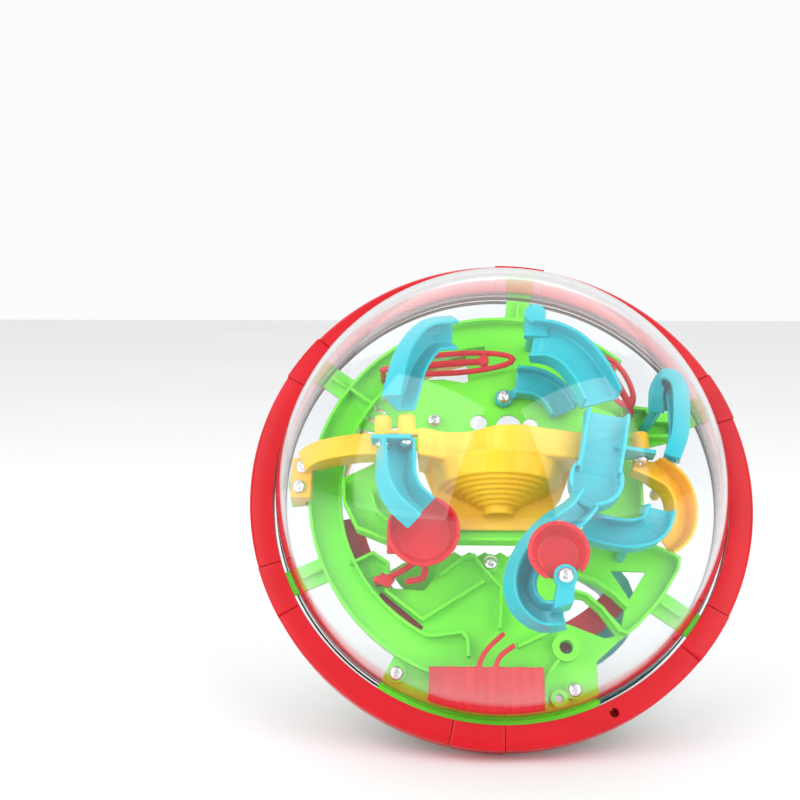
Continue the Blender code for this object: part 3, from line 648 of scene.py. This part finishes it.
@dataclass
class Domes:
    """The two clear half shells, each with the flange that the ring halves clamp.

    Attributes:
        frame: The ball's frame.
        outer: Outer radius of a dome.
        wall: Its wall.
        centre: Height of its centre above the middle of the ring.
        flange_outer: Outer radius of its flange.
        flange_low: Height of the flange's underside.
        flange_high: Height of the flange's top.
        edge: Chamfer of the flange's edges.
        fillet: Radius between the flange and the dome.
        steps: Steps round the dome.
        spans: Spans from its edge to its crown.
        sharp_edge: Least angle of an edge that stays sharp, in degrees.
    """

    frame: BallFrame
    outer: float = 88.88
    wall: float = 1.9
    centre: float = 6.0
    flange_outer: float = 93.6
    flange_low: float = 1.5
    flange_high: float = 3.1
    edge: float = 0.3
    fillet: float = 1.2
    steps: int = 160
    spans: int = 40
    sharp_edge: float = 30.0

    def profile(self) -> list[Point]:
        """Radius and height down the outside of a dome, round its flange and back up the inside."""
        inner = self.outer - self.wall
        outside = [(x, y + self.centre) for x, y in arc(self.outer, 90, 0, self.spans)]
        inside = [(x, y + self.centre) for x, y in arc(inner, 0, 90, self.spans)]
        fillet_centre = (self.outer + self.fillet, self.flange_high + self.fillet)
        fillet = arc(self.fillet, 180, 270, 4, fillet_centre)
        lip = [
            (self.flange_outer - self.edge, self.flange_high),
            (self.flange_outer, self.flange_high - self.edge),
            (self.flange_outer, self.flange_low + self.edge),
            (self.flange_outer - self.edge, self.flange_low),
            (inner + self.edge, self.flange_low),
            (inner, self.flange_low + self.edge),
        ]
        return [*outside, *fillet, *lip, *inside]

    def build(self) -> None:
        """Builds both domes."""
        for node, flip in (("front_dome", False), ("rear_dome", True)):
            piece = lathe(node, self.profile(), self.steps)
            if flip:
                piece.data.transform(Matrix.Rotation(math.pi, 4, "X"))
            smooth_by_angle(piece, self.sharp_edge)
            self.frame.settle(piece, node, Finishes.CLEAR)


@dataclass
class Ring:
    """The two halves of the red equator ring and the six clips that hold them together.

    Attributes:
        frame: The ball's frame.
        outer: Outer radius of the ring.
        inner: Inner radius of the ring.
        half: Half its thickness.
        seat_outer: Outer radius of the seat for the flanges.
        seat_high: Height of the seat above the middle of the ring.
        clips: How many clips there are.
        first_clip: Angle of the first clip, in degrees.
        clip_half: Half the angle that a clip takes up, in degrees.
        clip_wall: A clip's wall.
        clip_proud: How far a clip stands out of the ring.
        hole_angle: Angle of the small hole, in degrees.
        hole_radius: Its radius.
        hole_depth: Twice its depth.
        room: How far the cutter for a clip's room runs past the clip.
        room_play: Play at each end of a clip, in degrees.
        chamfer_in: The rim's chamfer, measured along the face.
        chamfer_down: The rim's chamfer, measured along the rim.
        corner: How far from each corner of a ring half its round starts.
        clip_corner: The same on a clip.
        clip_bevel: Width of the bevel on a clip's ends.
        bevel_above: Least angle of an edge that is bevelled, in degrees.
        sharp_edge: Least angle of an edge that stays sharp, in degrees.
        steps: Steps round the ring.
    """

    frame: BallFrame
    outer: float = 100.0
    inner: float = 90.7
    half: float = 6.2
    seat_outer: float = 93.9
    seat_high: float = 3.4
    clips: int = 6
    first_clip: float = 84.5
    clip_half: float = 6.0
    clip_wall: float = 1.9
    clip_proud: float = 0.1
    hole_angle: float = 296.0
    hole_radius: float = 1.75
    hole_depth: float = 13.4
    room: float = 2.0
    room_play: float = 0.14
    chamfer_in: float = 1.4
    chamfer_down: float = 1.2
    corner: float = 0.45
    clip_corner: float = 0.5
    clip_bevel: float = 0.22
    bevel_above: float = 60.0
    sharp_edge: float = 32.0
    steps: int = 240

    def half_profile(self) -> list[Point]:
        """The section of a ring half, with its chamfered rim and the seat for the domes."""
        corners = [
            (self.outer - self.chamfer_in, self.half),
            (self.outer, self.half - self.chamfer_down),
            (self.outer, GAP / 2),
            (self.seat_outer, GAP / 2),
            (self.seat_outer, self.seat_high),
            (self.inner, self.seat_high),
            (self.inner, self.half),
        ]
        return rounded(corners, self.corner)

    def clip_profile(self, room: float) -> list[Point]:
        """The C of a clip, or of the room that is cut for it.

        Args:
            room: 0 for the clip, or how far the cutter runs past it.

        Returns:
            The closed section.
        """
        lip = self.clip_wall + (GAP if room else 0.0)
        out, high = self.outer + self.clip_proud + room, self.half + self.clip_proud + room
        tip, level = self.inner - room, self.half + self.clip_proud - lip
        corners = [
            (tip, high),
            (out, high),
            (out, -high),
            (tip, -high),
            (tip, -level),
            (self.outer - lip, -level),
            (self.outer - lip, level),
            (tip, level),
        ]
        return [*corners, corners[0]] if room else rounded(corners, self.clip_corner)

    def clip(self, name: str, angle: float, room: float = 0.0) -> bpy.types.Object:
        """One clip, or the cutter that makes room for it."""
        piece = lathe(name, self.clip_profile(room), self.steps)
        keep_sector(piece, angle, self.clip_half + (self.room_play if room else 0.0))
        return piece

    def drill(self) -> bpy.types.Object:
        """The cutter of the small hole in the ring's front face."""
        place = arc((self.outer + self.inner) / 2, self.hole_angle, self.hole_angle, 1)[0]
        deselect()
        bpy.ops.mesh.primitive_cylinder_add(
            vertices=32, radius=self.hole_radius, depth=self.hole_depth, location=(*place, self.half)
        )
        piece = bpy.context.object
        bpy.ops.object.transform_apply(location=True, rotation=True, scale=True)
        return piece

    def build(self) -> None:
        """Builds the ring's halves and its clips."""
        angles = [self.first_clip + 360 / self.clips * i for i in range(self.clips)]
        bevel_above = math.radians(self.bevel_above)
        for node, flip in (("front_ring", False), ("rear_ring", True)):
            piece = lathe(node, self.half_profile(), self.steps)
            if flip:
                piece.data.transform(Matrix.Rotation(math.pi, 4, "X"))
            cutters = [self.clip(f"{node}_room_{i}", angle, self.room) for i, angle in enumerate(angles)]
            if not flip:
                cutters.append(self.drill())
            for cutter in cutters:
                apply_modifier(piece, "BOOLEAN", object=cutter, operation="DIFFERENCE", solver="EXACT")
                bpy.data.objects.remove(cutter)
            smooth_by_angle(piece, self.sharp_edge)
            self.frame.settle(piece, node, Finishes.RING_RED)
        for number, angle in enumerate(angles, 1):
            piece = self.clip("clip", angle)
            apply_modifier(
                piece,
                "BEVEL",
                width=self.clip_bevel,
                segments=2,
                limit_method="ANGLE",
                angle_limit=bevel_above,
            )
            smooth_by_angle(piece, self.sharp_edge)
            self.frame.settle(piece, f"ring_clip_{number}", Finishes.RING_RED)


# ---------------------------------------------------------------- screws and ball


class ScrewWay(Enum):
    """The way a screw's head faces, in the ball's frame."""

    FRONT = (0.0, 0.0, 1.0)
    DOWN = (0.0, -1.0, 0.0)


SCREWS: dict[str, ScrewWay] = {
    "tab_screw_upper": ScrewWay.FRONT,
    "tab_screw_lower": ScrewWay.FRONT,
    "upper_deck_screw": ScrewWay.FRONT,
    "inner_track_screw": ScrewWay.FRONT,
    "deck_screw_left": ScrewWay.FRONT,
    "deck_screw_right": ScrewWay.FRONT,
    "deck_screw_middle": ScrewWay.FRONT,
    "hook_screw": ScrewWay.FRONT,
    "flange_screw_1": ScrewWay.DOWN,
    "flange_screw_2": ScrewWay.DOWN,
    "flange_screw_3": ScrewWay.DOWN,
    "flange_screw_4": ScrewWay.DOWN,
}


@dataclass
class Screws:
    """The pan-head screws with cross recesses.

    Attributes:
        frame: The ball's frame.
        crown: Radius and height along the top of the head.
        head_radius: Radius of the head.
        head_height: Height of the head.
        shank_radius: Radius of the shank.
        stub: Length of the blank's shank.
        slot_width: Width of a recess.
        slot_length: Length of a recess.
        slot_depth: Depth of a recess.
        slot_taper: Length at the foot of a recess, as a share of its length at the top.
        slot_draft: Width at the foot of a recess, as a share of its width at the top.
        brim: How far below the top the head is at its widest.
        brim_foot: Height of the small chamfer under the brim.
        brim_inset: Width of that chamfer.
        first_turn: Turn of the first screw's recesses, in radians.
        next_turn: How much further each next screw is turned, in radians.
        sharp_edge: Least angle of an edge that stays sharp, in degrees.
        steps: Steps round the head.
    """

    frame: BallFrame
    crown: tuple[Point, ...] = ((0, 0), (0.9, -0.03), (1.6, -0.16), (2.15, -0.45), (2.55, -0.9))
    head_radius: float = 2.8
    head_height: float = 1.9
    shank_radius: float = 1.2
    stub: float = 1.0
    slot_width: float = 0.95
    slot_length: float = 3.9
    slot_depth: float = 1.3
    slot_taper: float = 0.45
    slot_draft: float = 0.8
    brim: float = 1.35
    brim_foot: float = 0.1
    brim_inset: float = 0.12
    first_turn: float = 0.3
    next_turn: float = 1.1
    sharp_edge: float = 35.0
    steps: int = 40

    def blank(self) -> bpy.types.Object:
        """One screw with its head's top at the origin and only a stub of a shank."""
        top = self.head_height
        pan = [
            *self.crown,
            (self.head_radius, -self.brim),
            (self.head_radius, self.brim_foot - top),
            (self.head_radius - self.brim_inset, -top),
            (self.shank_radius, -top),
            (self.shank_radius, -top - self.stub),
            (0, -top - self.stub),
        ]
        piece = lathe("screw_blank", pan, self.steps)
        for turn in (0.0, math.pi / 2):
            deselect()
            bpy.ops.mesh.primitive_cube_add(size=1, location=(0, 0, 0))
            slot = bpy.context.object
            slot.scale = (self.slot_length, self.slot_width, self.slot_depth * 2)
            bpy.ops.object.transform_apply(location=True, rotation=True, scale=True)
            for corner in slot.data.vertices:
                if corner.co.z < 0:
                    corner.co.x *= self.slot_taper
                    corner.co.y *= self.slot_draft
            slot.data.transform(Matrix.Rotation(turn + self.first_turn, 4, "Z"))
            apply_modifier(piece, "BOOLEAN", object=slot, operation="DIFFERENCE", solver="EXACT")
            bpy.data.objects.remove(slot)
        smooth_by_angle(piece, self.sharp_edge)
        return piece

    def build(self, nodes: dict[str, bpy.types.Object]) -> None:
        """Copies the blank to each screw's place, with its own length and turn."""
        blank = self.blank()
        back = self.frame.matrix.inverted()
        foot = -self.head_height - self.stub / 2
        for number, (node, way) in enumerate(SCREWS.items()):
            axis = Vector(way.value)
            points = [back @ corner.co for corner in nodes[node].data.vertices]
            head = max(points, key=axis.dot)
            length = (head - min(points, key=axis.dot)).dot(axis)
            piece = blank.copy()
            piece.data = blank.data.copy()
            bpy.context.scene.collection.objects.link(piece)
            for corner in piece.data.vertices:
                if corner.co.z < foot:
                    corner.co.z = -length
            stand = Vector((0, 0, 1)).rotation_difference(axis).to_matrix().to_4x4()
            spin = Matrix.Rotation(number * self.next_turn, 4, "Z")
            piece.data.transform(Matrix.Translation(head) @ stand @ spin)
            self.frame.settle(piece, node, Finishes.STEEL)
        bpy.data.objects.remove(blank)


@dataclass
class SteelBall:
    """The ball that runs through the maze.

    Attributes:
        segments: Steps round the ball.
        sharp_edge: Least angle of an edge that stays sharp, in degrees.
    """

    segments: int = 64
    sharp_edge: float = 40.0

    def build(self) -> None:
        """Builds the ball where its node is."""
        low, high = (Vector(corner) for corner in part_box("steel_ball"))
        deselect()
        bpy.ops.mesh.primitive_uv_sphere_add(
            segments=self.segments,
            ring_count=self.segments // 2,
            radius=(high - low).x / 2,
            location=(low + high) / 2,
        )
        piece = bpy.context.object
        bpy.ops.object.transform_apply(location=True, rotation=True, scale=True)
        smooth_by_angle(piece, self.sharp_edge)
        stand_for(piece, "steel_ball", Finishes.STEEL, "ball")


# ---------------------------------------------------------------- mouldings


@dataclass(frozen=True)
class Moulding:
    """One moulded piece of the maze and how it is refined.

    Attributes:
        node: Its node.
        finish: Its finish.
        grain: Size of the mesh that rounds it off, in millimetres, or 0 to keep its own faces.
    """

    node: str
    finish: Finishes
    grain: float = 0.0


MOULDINGS = [
    Moulding("main_deck", Finishes.GREEN),
    Moulding("upper_deck", Finishes.GREEN),
    Moulding("rear_shelf", Finishes.GREEN),
    Moulding("yellow_funnel", Finishes.YELLOW, 0.45),
    Moulding("yellow_left_track", Finishes.YELLOW, 0.35),
    Moulding("yellow_right_bank", Finishes.YELLOW, 0.35),
    Moulding("rear_yellow_track", Finishes.YELLOW),
    Moulding("teal_left_slide", Finishes.TEAL, 0.35),
    Moulding("teal_left_chute", Finishes.TEAL, 0.35),
    Moulding("teal_right_slide", Finishes.TEAL, 0.35),
    Moulding("teal_hook_track", Finishes.TEAL, 0.35),
    Moulding("teal_branch", Finishes.TEAL, 0.35),
    Moulding("teal_inner_track", Finishes.TEAL, 0.35),
    Moulding("teal_arch", Finishes.TEAL, 0.35),
    Moulding("rear_teal_track", Finishes.TEAL),
    Moulding("left_cup", Finishes.INNER_RED, 0.35),
    Moulding("right_cup", Finishes.INNER_RED, 0.35),
    Moulding("start_box", Finishes.INNER_RED, 0.35),
    Moulding("red_long_loop", Finishes.INNER_RED, 0.3),
    Moulding("red_right_loop", Finishes.INNER_RED, 0.3),
    Moulding("red_hook", Finishes.INNER_RED, 0.3),
    Moulding("rear_red_track", Finishes.INNER_RED),
]


@dataclass
class Mouldings:
    """The decks, tracks, cups and loops of the maze, refined from their nodes.

    Attributes:
        weld: Points closer than this become one, in metres.
        soften: Rounds of smoothing after a remesh.
        soften_share: How far each round moves a point towards its neighbours.
        rounded_edge: Least angle of an edge that stays sharp on a remeshed piece, in degrees.
        sharp_edge: The same on a piece that keeps its own faces.
        flat_within: Faces that differ by less than this become one, in degrees.
    """

    weld: float = 1e-6
    soften: int = 6
    soften_share: float = 0.5
    rounded_edge: float = 80.0
    sharp_edge: float = 26.0
    flat_within: float = 0.5

    def build(self, nodes: dict[str, bpy.types.Object]) -> None:
        """Refines each moulding from a copy of its node's mesh."""
        for moulding in MOULDINGS:
            piece = bpy.data.objects.new(moulding.node, nodes[moulding.node].data.copy())
            bpy.context.scene.collection.objects.link(piece)
            pick(piece)
            bpy.ops.object.mode_set(mode="EDIT")
            bpy.ops.mesh.select_all(action="SELECT")
            bpy.ops.mesh.remove_doubles(threshold=self.weld)
            bpy.ops.object.mode_set(mode="OBJECT")
            if moulding.grain:
                apply_modifier(piece, "REMESH", mode="VOXEL", voxel_size=moulding.grain * MM)
                apply_modifier(piece, "SMOOTH", factor=self.soften_share, iterations=self.soften)
                smooth_by_angle(piece, self.rounded_edge)
            else:
                pick(piece)
                bpy.ops.object.mode_set(mode="EDIT")
                bpy.ops.mesh.select_all(action="SELECT")
                bpy.ops.mesh.dissolve_limited(angle_limit=math.radians(self.flat_within))
                bpy.ops.object.mode_set(mode="OBJECT")
                smooth_by_angle(piece, self.sharp_edge)
                apply_modifier(piece, "WEIGHTED_NORMAL", keep_sharp=True)
            stand_for(piece, moulding.node, moulding.finish)


# ---------------------------------------------------------------- studio


@dataclass
class Studio:
    """The pale sweep, the soft lights and the camera.

    Attributes:
        camera_place: Where the camera stands, in metres.
        camera_tilt: Its tilt up from straight down, in degrees.
        camera_turn: Its turn to the left, in degrees.
        lens: Its focal length, in millimetres.
        film: The width of its film, in millimetres.
        dim: Brightness of the room behind the camera.
        bright: Brightness of the room behind the ball.
        dim_from: Where the room starts to brighten, along Y of the direction seen.
        bright_from: Where it is brightest.
        top_light: Strength of the overhead light.
        top_spread: How wide the overhead light is, in degrees.
        box_distance: Distance of the soft boxes from the ball, in metres.
        floor_side: Side of the sweep, in metres.
    """

    camera_place: Triple = (-0.02254, -0.51643, 0.09864)
    camera_tilt: float = 83.4
    camera_turn: float = 1.93
    lens: float = 58.5
    film: float = 36.0
    dim: float = 0.28
    bright: float = 0.97
    dim_from: float = -0.2
    bright_from: float = 0.85
    top_light: float = 1.15
    top_spread: float = 120.0
    box_distance: float = 1.3
    floor_side: float = 6.0

    def floor(self) -> None:
        """The sweep: a wide, flat floor under the ball."""
        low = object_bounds()[0].z
        deselect()
        bpy.ops.mesh.primitive_plane_add(size=self.floor_side, location=(0, 0, low))
        sweep = bpy.context.object
        sweep.name = "sweep"
        bpy.ops.object.transform_apply(location=True, rotation=True, scale=True)
        sweep.data.materials.append(StudioPaper().material())
        sweep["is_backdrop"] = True

    def soft_box(self, name: str, turn: float, rise: float, spread: Point, bright: float) -> None:
        """Adds a soft box that faces the ball.

        Args:
            name: The light's name.
            turn: Its direction from the ball, in degrees to the right of the camera's side.
            rise: Its height in degrees above the horizon.
            spread: The width and height it takes up as seen from the ball, in degrees.
            bright: The brightness of its face, where white paper in full light has 1.
        """
        turn, rise = math.radians(turn), math.radians(rise)
        place = Vector((math.sin(turn) * math.cos(rise), -math.cos(turn) * math.cos(rise), math.sin(rise)))
        data = bpy.data.lights.new(name, "AREA")
        data.shape = "RECTANGLE"
        wide, high = (math.tan(math.radians(side / 2)) for side in spread)
        data.size, data.size_y = 2 * self.box_distance * wide, 2 * self.box_distance * high
        data.energy = bright * math.pi * data.size * data.size_y
        lamp = bpy.data.objects.new(name, data)
        lamp.location = place * self.box_distance
        lamp.rotation_euler = place.to_track_quat("Z", "Y").to_euler()
        bpy.context.scene.collection.objects.link(lamp)

    def overhead(self) -> None:
        """A wide, even light from above, which leaves only a soft shadow under the ball."""
        data = bpy.data.lights.new("overhead", "SUN")
        data.energy = self.top_light
        data.angle = math.radians(self.top_spread)
        bpy.context.scene.collection.objects.link(bpy.data.objects.new("overhead", data))

    def world(self) -> None:
        """A white room that is brightest behind the ball and dim behind the camera."""
        world = bpy.data.worlds.new("surround")
        world.use_nodes = True
        tree = world.node_tree
        way = tree.nodes.new("ShaderNodeTexCoord")
        parts = tree.nodes.new("ShaderNodeSeparateXYZ")
        fade = tree.nodes.new("ShaderNodeMapRange")
        fade.interpolation_type = "SMOOTHSTEP"
        fade.inputs["From Min"].default_value = self.dim_from
        fade.inputs["From Max"].default_value = self.bright_from
        fade.inputs["To Min"].default_value = self.dim
        fade.inputs["To Max"].default_value = self.bright
        tree.links.new(way.outputs["Generated"], parts.inputs[0])
        tree.links.new(parts.outputs["Y"], fade.inputs["Value"])
        tree.links.new(fade.outputs[0], tree.nodes["Background"].inputs["Strength"])
        tree.nodes["Background"].inputs["Color"].default_value = (1.0, 1.0, 1.0, 1.0)
        bpy.context.scene.world = world

    def camera(self) -> None:
        """The camera, low in front of the ball and a little to its left."""
        data = bpy.data.cameras.new("camera")
        data.lens = self.lens
        data.sensor_width = self.film
        camera = bpy.data.objects.new("camera", data)
        camera.location = self.camera_place
        camera.rotation_euler = (math.radians(self.camera_tilt), 0, math.radians(self.camera_turn))
        bpy.context.scene.collection.objects.link(camera)
        bpy.context.scene.camera = camera

    def build(self) -> None:
        """Sets up the whole studio."""
        self.floor()
        self.world()
        self.soft_box("left_box", turn=-51, rise=25, spread=(54, 62), bright=1.95)
        self.soft_box("right_box", turn=47, rise=24, spread=(52, 62), bright=1.95)
        self.overhead()
        self.camera()
        bpy.context.scene.view_settings.view_transform = "Standard"


def main() -> None:
    """Builds the puzzle's pieces in order, then the studio."""
    logging.basicConfig(level=logging.INFO, format="%(message)s")
    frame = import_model()
    ball_frame = BallFrame(frame)
    Domes(ball_frame).build()
    Ring(ball_frame).build()
    Screws(ball_frame).build(frame["nodes"])
    SteelBall().build()
    Mouldings().build(frame["nodes"])
    Studio().build()


if __name__ == "__main__":
    main()
